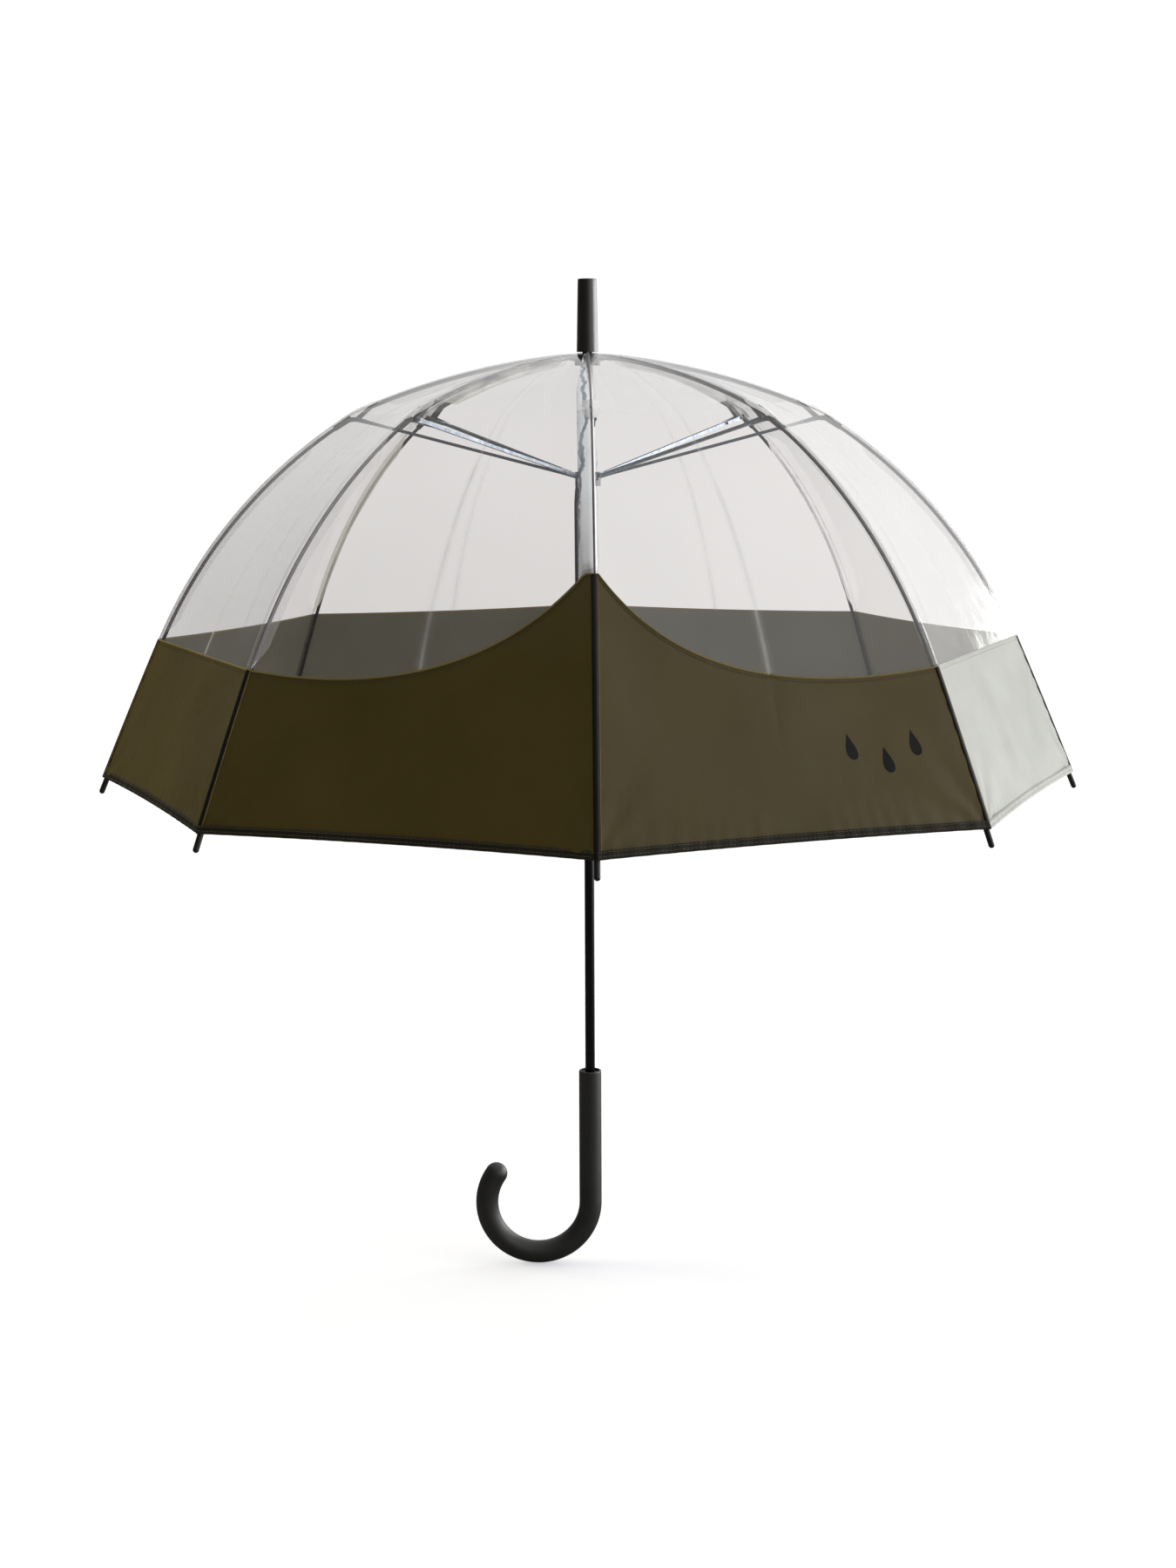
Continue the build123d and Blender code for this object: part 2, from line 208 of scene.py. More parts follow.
class Work:
    """Points, faces and the cloth's own coordinates, gathered before they become a mesh."""

    def __init__(self):
        self.points = []
        self.faces = []
        self.slots = []
        self.cloth = []

    def add(self, point, cloth=(0.0, 0.0)):
        self.points.append(point)
        self.cloth.append(cloth)
        return len(self.points) - 1

    def face(self, corners, slot=0):
        self.faces.append(corners)
        self.slots.append(slot)

    def grid(self, rows, columns, place, slot=0, flip=False):
        """A grid of quads. place(i, j) gives a point and its cloth coordinates."""
        index = [[self.add(*place(i, j)) for j in range(columns + 1)] for i in range(rows + 1)]
        for i in range(rows):
            for j in range(columns):
                corners = [index[i][j], index[i][j + 1], index[i + 1][j + 1], index[i + 1][j]]
                self.face(corners[::-1] if flip else corners, slot)

    def ring_faces(self, one, two, slot=0, flip=False):
        """Quads between two closed rings of points."""
        for m in range(len(one)):
            n = (m + 1) % len(one)
            others = [one[n], two[n], two[m]]
            self.face([one[m], *(others[::-1] if flip else others)], slot)

    def tube(self, path, radius, sides=8, slot=0):
        """A closed round tube along points, with domed ends."""
        rings = []
        for n, point in enumerate(path):
            ahead = path[min(n + 1, len(path) - 1)] - path[max(n - 1, 0)]
            ahead.normalize()
            side = ahead.cross(TUBE_UP).normalized()
            up = side.cross(ahead)
            ring = []
            for m in range(sides):
                turn = 2 * pi * m / sides
                offset = side * (cos(turn) * radius) + up * (sin(turn) * radius)
                ring.append(self.add(point + offset))
            rings.append(ring)
        for one, two in zip(rings, rings[1:]):
            self.ring_faces(one, two, slot)
        for ring, end, inner in ((rings[0], path[0], path[1]), (rings[-1], path[-1], path[-2])):
            tip = self.add(end + (end - inner).normalized() * radius * TUBE_DOME)
            for m in range(sides):
                corners = [ring[(m + 1) % sides], ring[m], tip]
                self.face(corners if end is path[0] else corners[::-1], slot)

    def mesh(self, name, materials):
        data = bpy.data.meshes.new(name)
        data.from_pydata(self.points, [], self.faces)
        data.polygons.foreach_set("material_index", self.slots)
        data.polygons.foreach_set("use_smooth", [True] * len(self.faces))
        cloth = data.attributes.new("cloth", "FLOAT_VECTOR", "POINT")
        cloth.data.foreach_set("vector", [x for u, v in self.cloth for x in (u, v, 0.0)])
        for material in materials:
            data.materials.append(material)
        data.update()
        return link_object(name, data)


def link_object(name, data):
    made = bpy.data.objects.new(name, data)
    bpy.context.scene.collection.objects.link(made)
    return made


# ---------- materials ----------

WAVE_SPAN = 0.314  # from one band of a wave texture to the next, at scale 1
WEAVE_PITCH = 0.0005

# How much clear film mirrors face on, how much more at a slant, and the most that it may
FILM_MIRROR = 0.045
FILM_MIRROR_SLANT = 0.8
FILM_MIRROR_MOST = 0.95
FILM_CLOUD = (0.86, 0.85, 0.86, 1)

# The front weld, whose white glare and the grey of the shaft seen through it are painted into its
# colour: its left edge, 1 over its width, and where the painted grey starts to run out
GLARE_LEFT = 0.0122
GLARE_SCALE = 70
GLARE_WANDER = 0.0024
GLARE_ENDING = 0.36


class Nodes:
    """A node tree under construction."""

    def __init__(self, tree):
        self.tree = tree
        self.tree.nodes.clear()

    def node(self, kind, **settings):
        made = self.tree.nodes.new(kind)
        for key, value in settings.items():
            setattr(made, key, value)
        return made

    def link(self, source, target):
        self.tree.links.new(source, target)

    def set(self, socket, value):
        """Gives a socket a number, or links it to another node's output."""
        if isinstance(value, (int, float)):
            socket.default_value = value
        else:
            self.link(value, socket)

    def ramp(self, factor, *stops):
        """Colours by a factor. Each stop is (place, colour)."""
        made = self.node("ShaderNodeValToRGB")
        elements = made.color_ramp.elements
        while len(elements) < len(stops):
            elements.new(0.5)
        for element, (at, colour) in zip(elements, stops):
            element.position = at
            element.color = (*colour, 1)
        self.link(factor, made.inputs["Fac"])
        return made.outputs["Color"]

    def maths(self, operation, one, two):
        made = self.node("ShaderNodeMath", operation=operation)
        self.set(made.inputs[0], one)
        self.set(made.inputs[1], two)
        return made.outputs["Value"]

    def mix(self, factor, one, two):
        made = self.node("ShaderNodeMixShader")
        self.set(made.inputs["Fac"], factor)
        self.link(one, made.inputs[1])
        self.link(two, made.inputs[2])
        return made.outputs["Shader"]


class Shader(Nodes):
    """A material's nodes."""

    def __init__(self, name):
        self.material = bpy.data.materials.new(name)
        self.material.use_nodes = True
        super().__init__(self.material.node_tree)

    def place(self, stretch=(1, 1, 1)):
        """The object's own coordinates, in metres."""
        coordinates = self.node("ShaderNodeTexCoord").outputs["Object"]
        if stretch == (1, 1, 1):
            return coordinates
        mapping = self.node("ShaderNodeMapping")
        mapping.inputs["Scale"].default_value = stretch
        self.link(coordinates, mapping.inputs["Vector"])
        return mapping.outputs["Vector"]

    def cloth(self):
        """The cloth's own coordinates."""
        return self.node("ShaderNodeAttribute", attribute_name="cloth").outputs["Vector"]

    def cloth_parts(self):
        """The cloth's own coordinates, as separate outputs X, Y and Z."""
        parts = self.node("ShaderNodeSeparateXYZ")
        self.link(self.cloth(), parts.inputs[0])
        return parts.outputs

    def noise(self, scale, detail=3.0, stretch=(1, 1, 1), distortion=0.0):
        made = self.node("ShaderNodeTexNoise")
        made.inputs["Scale"].default_value = scale
        made.inputs["Detail"].default_value = detail
        made.inputs["Roughness"].default_value = 0.55
        made.inputs["Distortion"].default_value = distortion
        self.link(self.place(stretch), made.inputs["Vector"])
        return made.outputs["Fac"]

    def between(self, factor, low, high):
        """A noise's factor spread from low to high."""
        made = self.node("ShaderNodeMapRange")
        made.inputs["From Min"].default_value = 0.3
        made.inputs["From Max"].default_value = 0.7
        made.inputs["To Min"].default_value = low
        made.inputs["To Max"].default_value = high
        self.link(factor, made.inputs["Value"])
        return made.outputs["Result"]

    def bump(self, height, distance, strength, under=None):
        made = self.node("ShaderNodeBump")
        made.inputs["Distance"].default_value = distance
        made.inputs["Strength"].default_value = strength
        self.link(height, made.inputs["Height"])
        if under is not None:
            self.link(under, made.inputs["Normal"])
        return made.outputs["Normal"]

    def principled(self, colour, roughness, normal, **sockets):
        made = self.node("ShaderNodeBsdfPrincipled")
        self.link(colour, made.inputs["Base Color"])
        self.link(roughness, made.inputs["Roughness"])
        self.link(normal, made.inputs["Normal"])
        for name, value in sockets.items():
            made.inputs[name.replace("_", " ")].default_value = value
        return made.outputs["BSDF"]

    def finish(self, surface):
        output = self.node("ShaderNodeOutputMaterial")
        self.link(surface, output.inputs["Surface"])
        return self.material


def moulded(name, dark, light, roughness, grain=0.00002, scale=900, **sockets):
    """Moulded plastic or rubber: faint mottling, fine grain and slightly uneven gloss."""
    shader = Shader(name)
    colour = shader.ramp(shader.noise(22), (0.35, dark), (0.68, light))
    gloss = shader.between(shader.noise(60), roughness * 0.88, roughness * 1.12)
    fine = shader.bump(shader.noise(scale, detail=2), grain, 0.6)
    normal = shader.bump(shader.noise(35, detail=1), grain * 6, 0.25, under=fine)
    return shader.finish(shader.principled(colour, gloss, normal, **sockets))


def metal(name, dark, light, roughness, streak=(1, 1, 1), **sockets):
    """Drawn or pressed metal: streaks along it, small stains and a varying gloss."""
    shader = Shader(name)
    colour = shader.ramp(shader.noise(260, stretch=streak), (0.3, dark), (0.7, light))
    gloss = shader.between(shader.noise(120, stretch=streak), roughness * 0.7, roughness * 1.3)
    normal = shader.bump(shader.noise(1400, detail=2, stretch=streak), 0.00001, 0.5)
    return shader.finish(shader.principled(colour, gloss, normal, **sockets))


def weave(shader):
    """Height of a plain weave in the cloth's own coordinates."""
    cloth = shader.cloth()
    waves = []
    for direction in ("X", "Y"):
        wave = shader.node("ShaderNodeTexWave", bands_direction=direction)
        wave.inputs["Scale"].default_value = WAVE_SPAN / WEAVE_PITCH
        shader.link(cloth, wave.inputs["Vector"])
        waves.append(wave.outputs["Fac"])
    return shader.maths("MULTIPLY", *waves)


def band_cloth(name, dark, light, roughness, specular):
    """Coated satin cloth: fine weave under the coating, soft unevenness and slack."""
    shader = Shader(name)
    colour = shader.ramp(shader.noise(9, detail=4), (0.3, dark), (0.7, light))
    gloss = shader.between(shader.noise(30, detail=4), roughness * 0.9, roughness * 1.12)
    threads = shader.bump(weave(shader), 0.00003, 0.35)
    pulls = shader.bump(shader.noise(48, detail=2, stretch=(1, 1, 0.25)), 0.0006, 0.3,
                        under=threads)
    slack = shader.bump(shader.noise(16, distortion=0.6), 0.0018, 0.45, under=pulls)
    return shader.finish(shader.principled(colour, gloss, slack, Specular_IOR_Level=specular))


def painted_crease_highlight(shader):
    """A painted highlight: the whitish line where the fold down the middle of a panel catches
    light, broken up in places by noise.
    """
    cloth = shader.cloth_parts()
    fold = shader.ramp(cloth["X"], (0.478, (0, 0, 0)), (0.492, (0.12, 0.12, 0.12)),
                       (0.4975, (0.5, 0.5, 0.5)))
    along = shader.ramp(cloth["Y"], (0.1, (0, 0, 0)), (0.22, (0.4, 0.4, 0.4)),
                        (0.32, (0.3, 0.3, 0.3)), (0.4, (1, 1, 1)))
    broken_up = shader.between(shader.noise(26, detail=4, stretch=(1, 1, 0.3)), 0.25, 1.0)
    return shader.maths("MULTIPLY", shader.maths("MULTIPLY", fold, along), broken_up)


def clear_film(name, tints, mirror, milk, roughness, ripple=1.0, with_crease_highlight=False):
    """Clear film: it tints what is behind it, mirrors more at a slant and is faintly milky."""
    shader = Shader(name)
    through = shader.node("ShaderNodeBsdfTransparent")
    tint = shader.ramp(shader.noise(5, detail=2), (0.3, tints[0]), (0.7, tints[1]))
    shader.link(tint, through.inputs["Color"])
    waves = shader.bump(shader.noise(14, detail=2, stretch=(1, 1, 0.45)), 0.004, 0.22 * ripple)
    normal = shader.bump(shader.noise(75, detail=2, distortion=0.8), 0.0005, 0.2 * ripple,
                         under=waves)
    shine = shader.node("ShaderNodeBsdfGlossy")
    shine.inputs["Color"].default_value = (1, 1, 1, 1)
    shader.link(shader.between(shader.noise(40), roughness * 0.6, roughness * 1.4),
                shine.inputs["Roughness"])
    shader.link(normal, shine.inputs["Normal"])
    cloud = shader.node("ShaderNodeBsdfDiffuse")
    cloud.inputs["Color"].default_value = FILM_CLOUD
    haze_and_painted_highlight = shader.between(shader.noise(11), milk * 0.6, milk * 1.4)
    # A painted highlight along each panel's middle fold, added to the milk.
    if with_crease_highlight:
        haze_and_painted_highlight = shader.maths("ADD", haze_and_painted_highlight, painted_crease_highlight(shader))
    body = shader.mix(haze_and_painted_highlight, through.outputs["BSDF"], cloud.outputs["BSDF"])
    slant = shader.node("ShaderNodeLayerWeight")
    slant.inputs["Blend"].default_value = 0.5
    shader.link(waves, slant.inputs["Normal"])
    steep = shader.maths("POWER", slant.outputs["Facing"], 5.0)
    share = shader.maths("MULTIPLY", steep, FILM_MIRROR_SLANT)
    share = shader.maths("ADD", share, FILM_MIRROR)
    share = shader.maths("MULTIPLY", share, mirror)
    share = shader.maths("MINIMUM", share, FILM_MIRROR_MOST)
    return shader.finish(shader.mix(share, body, shine.outputs["BSDF"]))


def seam_glare(name):
    """The front weld, with white glare painted into its colour and a painted wavy grey of the
    shaft seen through it; its metallic gloss mirrors as well. The painted grey runs out towards
    the band's peak."""
    shader = Shader(name)
    cloth = shader.cloth_parts()
    streaks = (1, 1, 0.3)
    wander = shader.between(shader.noise(55, stretch=streaks, distortion=0.5),
                            -GLARE_WANDER, GLARE_WANDER)
    ending = shader.maths("MAXIMUM", shader.maths("SUBTRACT", cloth["Y"], GLARE_ENDING), 0)
    across = shader.maths("ADD", cloth["X"], wander)
    across = shader.maths("ADD", across, shader.maths("MULTIPLY", ending, 0.05))
    across = shader.maths("MULTIPLY", shader.maths("ADD", across, GLARE_LEFT), GLARE_SCALE)
    # Painted glare in white and light grey, with the painted wavy grey of the shaft seen through
    # the weld in the darker stops.
    colour = shader.ramp(across, (0.05, (0.66, 0.67, 0.72)), (0.3, (0.78, 0.79, 0.83)),
                         (0.36, (0.2, 0.22, 0.27)), (0.52, (0.3, 0.32, 0.38)),
                         (0.57, (0.88, 0.89, 0.92)), (1.0, (0.93, 0.93, 0.95)))
    normal = shader.bump(shader.noise(45, detail=2, stretch=streaks), 0.0006, 0.3)
    body = shader.principled(colour, shader.between(shader.noise(60), 0.14, 0.28), normal,
                             Metallic=0.6)
    through = shader.node("ShaderNodeBsdfTransparent")
    through.inputs["Color"].default_value = (0.9, 0.9, 0.92, 1)
    solid = shader.between(shader.noise(30, stretch=streaks), 0.8, 0.94)
    return shader.finish(shader.mix(solid, through.outputs["BSDF"], body))


PANEL_TINTS = ((0.83, 0.818, 0.81), (0.855, 0.843, 0.836))
SEAM_TINTS = ((0.95, 0.945, 0.95), (0.99, 0.985, 0.99))
PATCH_TINTS = ((0.85, 0.84, 0.84), (0.95, 0.94, 0.94))

FILM = clear_film("clear_film", PANEL_TINTS, 1.0, 0.02, 0.09, with_crease_highlight=True)
WELD = clear_film("film_weld", SEAM_TINTS, 0.9, 0.07, 0.1, ripple=0.1)
PATCH = clear_film("film_patch", PATCH_TINTS, 2.0, 0.4, 0.15)
FIN = clear_film("film_fin", SEAM_TINTS, 0.9, 0.2, 0.1, ripple=0.2)
MILKY_FIN = clear_film("film_fin_milky", SEAM_TINTS, 0.9, 0.6, 0.1, ripple=0.2)
GLARE = seam_glare("front_weld_glare")
BAND = band_cloth("band_cloth", (0.060, 0.0425, 0.0060), (0.073, 0.052, 0.0084), 0.5, 0.27)
# Painted reflection: the glare of the strong right-hand light on the olive satin of the panel
# between the ribs at 45 and 90 degrees, painted in as a pale cloth colour.
PAINTED_REFLECTION_CLOTH = band_cloth("band_cloth_painted_reflection", (0.47, 0.48, 0.44), (0.53, 0.54, 0.495), 0.6, 0.08)
LINING = band_cloth("band_lining", (0.1, 0.092, 0.063), (0.122, 0.113, 0.08), 0.6, 0.2)
TAPE = band_cloth("hem_tape", (0.013, 0.0105, 0.006), (0.021, 0.017, 0.010), 0.6, 0.15)
# Lighter olive welt along the band's top edge; the bead beside each seam strip takes this colour
# as a painted highlight of the panel's edge catching light.
WELT_AND_PAINTED_HIGHLIGHT = band_cloth("band_welt_and_painted_highlight", (0.15, 0.115, 0.035), (0.2, 0.155, 0.05), 0.5, 0.2)
THREAD = moulded("thread", (0.055, 0.047, 0.022), (0.085, 0.073, 0.035), 0.6, scale=4000)
# Painted reflection as well, for the stitching on that panel's trim.
PAINTED_REFLECTION_THREAD = moulded("thread_painted_reflection", (0.5, 0.5, 0.45), (0.62, 0.62, 0.57), 0.6, scale=4000)
STRIP = band_cloth("seam_strip", (0.004, 0.0038, 0.0034), (0.009, 0.0085, 0.007), 0.5, 0.15)
SEAM = moulded("film_seam_line", (0.05, 0.045, 0.055), (0.11, 0.1, 0.115), 0.4, scale=2000)
PRINT = moulded("print_ink", (0.003, 0.003, 0.003), (0.006, 0.006, 0.0055), 0.6,
                Specular_IOR_Level=0.12)

SOFT_TOUCH = moulded("handle_soft_touch", (0.0055, 0.0049, 0.0030), (0.008, 0.0072, 0.0046), 0.5,
                     grain=0.00003, scale=1500, Specular_IOR_Level=0.75)
FERRULE = moulded("ferrule_plastic", (0.007, 0.005, 0.0032), (0.011, 0.008, 0.005), 0.32,
                  scale=1200, Specular_IOR_Level=1.0)
BLACK = moulded("black_plastic", (0.008, 0.008, 0.008), (0.014, 0.014, 0.013), 0.35)
RUNNER = moulded("runner_plastic", (0.10, 0.12, 0.145), (0.15, 0.17, 0.20), 0.32)
TIPS = moulded("tip_plastic", (0.008, 0.006, 0.0045), (0.014, 0.011, 0.008), 0.35,
               Specular_IOR_Level=0.3)
TUBE = metal("black_tube", (0.003, 0.003, 0.004), (0.006, 0.006, 0.008), 0.3,
             streak=(1, 1, 0.03), Specular_IOR_Level=0.12)
RIB = metal("rib_steel", (0.012, 0.0095, 0.008), (0.026, 0.021, 0.018), 0.35,
            Specular_IOR_Level=0.3)
ROD = metal("rod_fibreglass", (0.009, 0.007, 0.006), (0.02, 0.016, 0.013), 0.3,
            Specular_IOR_Level=0.3)
STEEL = metal("stretcher_steel", (0.16, 0.19, 0.23), (0.30, 0.34, 0.39), 0.28, Metallic=0.85)
SPRING = metal("spring_steel", (0.55, 0.54, 0.52), (0.72, 0.71, 0.69), 0.22, Metallic=1.0)

# The materials of the CAD nodes. The eight of a kind share a name but for their number.
NODE_MATERIALS = {
    "shaft": TUBE,
    "handle": SOFT_TOUCH,
    "ferrule": FERRULE,
    "crown_notch": BLACK,
    "crown_wire": SPRING,
    "runner": RUNNER,
    "runner_wire": SPRING,
    "top_catch": SPRING,
    "bottom_catch": SPRING,
    "rib_inner": RIB,
    "rib_outer": ROD,
    "rib_tip": TIPS,
    "stretcher": STEEL,
}

for name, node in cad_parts.items():
    material = NODE_MATERIALS.get(name.rstrip("12345678").rstrip("_"))
    if material is not None:
        for slot in node.material_slots:
            slot.material = material


# ---------- canopy ----------

# Half a panel's grid of film, (rows, columns), above and below the rib joint
FILM_GRIDS = ((22, 16), (30, 22))
BAND_GRID = (34, 46)
NEAR_HEM = 0.0005  # just above the hem, in s, where its trim takes its waves from

# How far the cloth stands out in each kind of unevenness, and how soon that fades away
HEM_WAVE, HEM_FADE = 0.00035, 0.012
SEAM_WAVE, SEAM_FADE = 0.0003, 0.009
TIP_PULL, STRONG_TIP_PULL, TIP_FADE, TIP_FOLDS = 0.0007, 0.0013, 0.05, 9
SLACK = 0.0011
CALM_MIDDLE = 0.08  # the share of a panel at its middle that is left smooth

HEM_PROFILE = (
    (0.0062, 0.0004), (0.0060, 0.0009), (0.0045, 0.0011), (0.0015, 0.0011), (0.0002, 0.0010),
    (-0.0005, 0.0005), (-0.0006, 0.0), (-0.0005, -0.0005), (0.0002, -0.0010),
    (0.0045, -0.0011), (0.0060, -0.0009), (0.0062, -0.0004),
)
# Each row of stitches is (how far it is below the hem or the band's top, its lift).
HEM_STITCHES = ((-0.0016, 0.00112), (-0.0048, 0.00112))
TOP_STITCHES = (0.0032, 0.00042)
STITCH_PITCH = 0.0034
STITCH_PLACES = (0.12, 0.3, 0.5, 0.7, 0.88)  # its points, as shares of the pitch
THREAD_RADIUS = 0.00022
WELT_RADIUS = 0.0008
WELT_LIFT = 0.0004
WELT_STEPS = 40

# The printed drops, each (distance from rib 1, height above the hem)
DROPS = ((0.095, 0.072), (0.068, 0.060), (0.041, 0.072))
DROP_SIZE = 0.0105
DROP_RINGS = (0.35, 0.7, 1.0)
INK = 0.0002

STRIP_HALF = 0.0024
STRIP_PROFILE = (
    (-1, 0.0003), (-0.97, 0.0008), (-0.5, 0.00105), (0, 0.0011), (0.5, 0.00105), (0.97, 0.0008),
    (1, 0.0003),
)
STRIP_ROWS = 40
BEAD_RADIUS = 0.0004
BEAD_LIFT = 0.0006

WELD_OFFSETS = (-0.0048, -0.0045, -0.0024, 0, 0.0024, 0.0045, 0.0048)
FRONT_WELD_OFFSETS = (-0.0122, -0.0118, -0.008, -0.004, 0, 0.0019, 0.0022)
WELD_ROWS = 30
WELD_LIFT, WELD_EDGE_LIFT = 0.0005, 0.0002
WELD_LINE_RADIUS = 0.0009
WELD_LINE_ASIDE, WELD_LINE_LIFT = 0.0002, 0.0008
# The s at which a weld starts and ends above the rib joint, and where it starts below it. Below,
# it ends just short of the band's top edge, and the front one reaches it.
UPPER_WELD, LOWER_WELD_START = (0.06, 0.985), 1.02
FRONT_UPPER_WELD, FRONT_LOWER_WELD_START = (0.05, 1.0), 1.0
WELD_SHORT = 0.005
UPPER_FIN, LOWER_FIN_START = (0.07, 0.88), 1.14
TUCK = 0.02  # how far, in s, the front weld runs on under the band, and its lift there
TUCK_LIFT = -0.0009
FIN_COLUMNS = 5
FIN_ROOT, FIN_DEPTH = 0.0006, 0.009
FIN_ASIDE = 0.0027  # how far beside the rib it stands, its lean away from it and its wander
FIN_LEAN = 0.12
FIN_WANDER = 0.0006
FIN_TAPER = 12
FIN_LEAST = 0.15
MILKY_FINS = (3, 4, 5)
TURNED_FIN = 3  # the rib whose fin stands on its other side

PATCH_MIDDLE = 0.972
PATCH_WIDTH = 0.0085
PATCH_LENGTH = 0.019
PATCH_LIFT = 0.0007


def pleat(piece, k, segment):
    """Gives the piece a mesh of its own. It works out which way the half panel beside a rib would
    stand out as a pleat when the umbrella closes, but moves nothing.
    """
    start, end = ((0, 1), (1, 3))[segment]
    a, b = rib_point(k, start), rib_point(k, end)
    along = (b - a).normalized()
    across = tangent(k * STEP)
    out = across.cross(along)
    if out.dot(radial(k * STEP)) < 0:
        out = -out
    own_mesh(piece)


def attach(piece, k, segment):
    """Rides on the inner rib (0) or on the rod (1)."""
    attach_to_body(piece, (f"rib_inner_{k + 1}", f"rib_outer_{k + 1}")[segment])
    return piece


def half_name(k, side):
    return f"{k + 1}{'r' if side > 0 else 'l'}"


def film_piece(k, side, segment):
    """Half a panel of film beside a rib, above (0) or below (1) the rib joint."""
    rows, columns = FILM_GRIDS[segment]

    def place(i, j):
        v = 0.5 * j / columns
        bottom = 1.0 if segment == 0 else edge(k, side, v)
        s = segment + (bottom - segment) * i / rows
        return skin(k, side, v, s), (v, s / 3)

    work = Work()
    work.grid(rows, columns, place, flip=side > 0)
    name = ("film_upper", "film_lower")[segment]
    return work.mesh(f"{name}_{half_name(k, side)}", [FILM])


def pucker(k, side, v, s, last):
    """How far the cloth stands out near its hem, its seam and the rib's tip."""
    across = width_at(v, s)
    up = (last - s) * LENGTHS[2]
    phase = 1.7 * k + side
    hem_waves = HEM_WAVE * sin(across * 420 + 2 * sin(across * 55 + phase) + phase)
    hem_waves *= exp(-up / HEM_FADE)
    seam_waves = SEAM_WAVE * sin(up * 380 + 1.5 * sin(up * 47 + phase))
    seam_waves *= exp(-across / SEAM_FADE)
    reach = hypot(across, up)
    pull = STRONG_TIP_PULL if k == 2 or (k, side) == (1, 1) else TIP_PULL
    turn = atan2(up, across + 1e-6)
    folds = pull * sin(TIP_FOLDS * turn + phase) * exp(-reach / TIP_FADE) * min(1, reach / 0.012)
    slack = SLACK * sin(across * 31 + up * 17 + phase) * sin(up * 23 - phase)
    slack *= min(1, across / 0.03) * min(1, up / 0.02)
    middle = min(1, (0.5 - v) / CALM_MIDDLE)
    return (hem_waves + seam_waves + folds + slack) * middle


def hem_pucker(k, side, v):
    return pucker(k, side, v, hem(v) - NEAR_HEM, hem(v))


def has_painted_reflection(k, side):
    """The panel between the ribs at 45 and 90 degrees is painted pale: a painted reflection of the
    strong right-hand light on its olive satin, put into the cloth's colour.
    """
    return (k, side) in ((1, 1), (2, -1))


def band_piece(k, side):
    """Half a band panel beside a rib: satin outside, and its lining inside."""
    rows, columns = BAND_GRID
    work = Work()
    for lift, slot in ((CLOTH / 2, 0), (-CLOTH / 2, 1)):

        def place(i, j):
            v = 0.5 * j / columns
            top, last = edge(k, side, v), hem(v)
            s = top + (last - top) * i / rows
            stand = pucker(k, side, v, s, last) * min(1, 8 * i / rows)
            return skin(k, side, v, s, lift + stand), (width_at(v, s), s * LENGTHS[2])

        work.grid(rows, columns, place, slot, flip=(side > 0) == (slot == 0))
    for low in (False, True):

        def rim(i, j):
            v = 0.5 * j / columns
            s = hem(v) if low else edge(k, side, v)
            stand = pucker(k, side, v, s, s) if low else 0
            return skin(k, side, v, s, CLOTH * (0.5 - i) + stand), (width_at(v, s), CLOTH * i)

        work.grid(1, columns, rim, 1, flip=(side > 0) == low)
    # The panel at 45 to 90 degrees takes the painted reflection of the right-hand light as its
    # colour.
    cloth = PAINTED_REFLECTION_CLOTH if has_painted_reflection(k, side) else BAND
    return work.mesh(f"band_{half_name(k, side)}", [cloth, LINING])


def hem_rim(work, k, side):
    """The folded tape round the band's lower edge."""
    columns = BAND_GRID[1]

    def place(i, j):
        v = 0.5 * j / columns
        up, lift = HEM_PROFILE[i]
        s = hem(v) - up / LENGTHS[2]
        return skin(k, side, v, s, lift + hem_pucker(k, side, v)), (width_at(v, s), up)

    work.grid(len(HEM_PROFILE) - 1, columns, place, flip=side > 0)


def stitches(work, k, side, row, below, lift):
    """A row of stitches, as short raised threads. row(v) gives the edge that it keeps to."""
    first, last = STITCH_PLACES[0], STITCH_PLACES[-1]
    count = int(0.5 * chord(row(0.2)) / STITCH_PITCH)
    for n in range(count):
        path = []
        for part in STITCH_PLACES:
            v = 0.5 * (n + part) / count
            s = row(v) + below / LENGTHS[1 if row(v) < 2 else 2]
            stand = hem_pucker(k, side, v) if row is hem else 0
            arch = lift + THREAD_RADIUS * sin(pi * (part - first) / (last - first))
            path.append(skin(k, side, v, s, arch + stand))
        work.tube(path, THREAD_RADIUS, sides=5, slot=1)


def trim_piece(k, side):
    """Hem tape, welt along the band's top edge, and the stitching of both."""
    work = Work()
    hem_rim(work, k, side)
    for below, lift in HEM_STITCHES:
        stitches(work, k, side, hem, below, lift)

    def top(v):
        return edge(k, side, v)

    places = [0.5 * n / WELT_STEPS for n in range(WELT_STEPS + 1)]
    work.tube([skin(k, side, v, top(v), WELT_LIFT) for v in places], WELT_RADIUS, slot=2)
    stitches(work, k, side, top, *TOP_STITCHES)
    # On the pale panel the hem tape, welt and stitches carry the same painted reflection.
    materials = [PAINTED_REFLECTION_CLOTH, PAINTED_REFLECTION_THREAD, PAINTED_REFLECTION_CLOTH] if has_painted_reflection(k, side) else [TAPE, THREAD, WELT_AND_PAINTED_HIGHLIGHT]
    return work.mesh(f"band_trim_{half_name(k, side)}", materials)


def drop_outline(count=48):
    """A plain drop with its point up."""
    points = []
    for n in range(count):
        t = 2 * pi * n / count
        pinch = sin(t / 2) ** 1.6
        points.append((0.62 * DROP_SIZE * sin(t) * pinch, DROP_SIZE * cos(t)))
    return points


